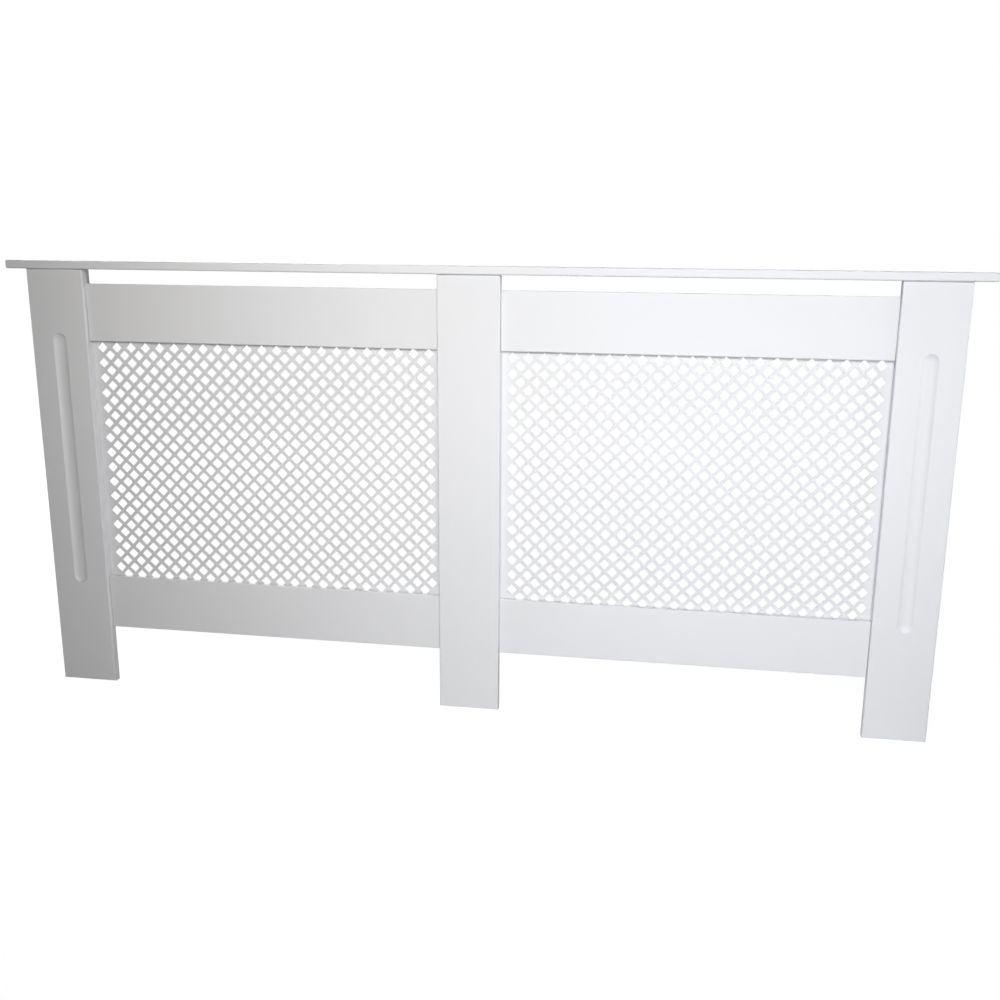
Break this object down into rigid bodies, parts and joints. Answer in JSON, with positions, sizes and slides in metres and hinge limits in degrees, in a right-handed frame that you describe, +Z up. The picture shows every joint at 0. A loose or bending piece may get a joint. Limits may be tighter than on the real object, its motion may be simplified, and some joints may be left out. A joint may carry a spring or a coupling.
{
  "type": "radiator cover cabinet",
  "caption": "White painted board cabinet that stands over a radiator: framed front with diagonal perforated grilles, fluted end stiles, open back and a projecting top shelf.",
  "frame": {"origin": "on the floor, under the middle of the top shelf", "axes": "+X to the right seen from the front and along the shelf, +Y towards the wall, +Z up"},
  "size_m": [1.726, 0.183, 0.815],
  "materials": {
    "white_paint": "satin white paint on fibreboard",
    "grille_paint": "satin white paint on hardboard",
    "batten_wood": "bare planed softwood",
    "dowel_wood": "bare beech",
    "zinc_steel": "bright zinc plate"
  },
  "bodies": {
    "root": {"top_shelf": "white_paint", "left_end_stile": "white_paint", "right_end_stile": "white_paint", "centre_stile": "white_paint", "upper_rail_left": "white_paint", "upper_rail_right": "white_paint", "lower_rail_left": "white_paint", "lower_rail_right": "white_paint", "grille_left": "grille_paint", "grille_right": "grille_paint", "side_panel_left": "white_paint", "side_panel_right": "white_paint", "corner_batten_left": "batten_wood", "corner_batten_right": "batten_wood", "dowel_upper_rail_left_left_bottom": "dowel_wood", "dowel_upper_rail_left_left_top": "dowel_wood", "dowel_upper_rail_left_right_bottom": "dowel_wood", "dowel_upper_rail_left_right_top": "dowel_wood", "dowel_upper_rail_right_left_bottom": "dowel_wood", "dowel_upper_rail_right_left_top": "dowel_wood", "dowel_upper_rail_right_right_bottom": "dowel_wood", "dowel_upper_rail_right_right_top": "dowel_wood", "dowel_lower_rail_left_left_bottom": "dowel_wood", "dowel_lower_rail_left_left_top": "dowel_wood", "dowel_lower_rail_left_right_bottom": "dowel_wood", "dowel_lower_rail_left_right_top": "dowel_wood", "dowel_lower_rail_right_left_bottom": "dowel_wood", "dowel_lower_rail_right_left_top": "dowel_wood", "dowel_lower_rail_right_right_bottom": "dowel_wood", "dowel_lower_rail_right_right_top": "dowel_wood", "batten_screw_left_1": "zinc_steel", "batten_screw_left_2": "zinc_steel", "batten_screw_left_3": "zinc_steel", "batten_screw_right_1": "zinc_steel", "batten_screw_right_2": "zinc_steel", "batten_screw_right_3": "zinc_steel", "shelf_bracket_left_front": "zinc_steel", "shelf_bracket_left_rear": "zinc_steel", "shelf_bracket_right_front": "zinc_steel", "shelf_bracket_right_rear": "zinc_steel", "shelf_bracket_centre": "zinc_steel", "wall_bracket_left": "zinc_steel", "wall_bracket_right": "zinc_steel", "screw_shelf_bracket_left_front_upright": "zinc_steel", "screw_shelf_bracket_left_front_shelf": "zinc_steel", "screw_shelf_bracket_left_rear_upright": "zinc_steel", "screw_shelf_bracket_left_rear_shelf": "zinc_steel", "screw_shelf_bracket_right_front_upright": "zinc_steel", "screw_shelf_bracket_right_front_shelf": "zinc_steel", "screw_shelf_bracket_right_rear_upright": "zinc_steel", "screw_shelf_bracket_right_rear_shelf": "zinc_steel", "screw_shelf_bracket_centre_upright": "zinc_steel", "screw_shelf_bracket_centre_shelf": "zinc_steel", "screw_wall_bracket_left_upright": "zinc_steel", "screw_wall_bracket_right_upright": "zinc_steel"}
  },
  "joints": []
}
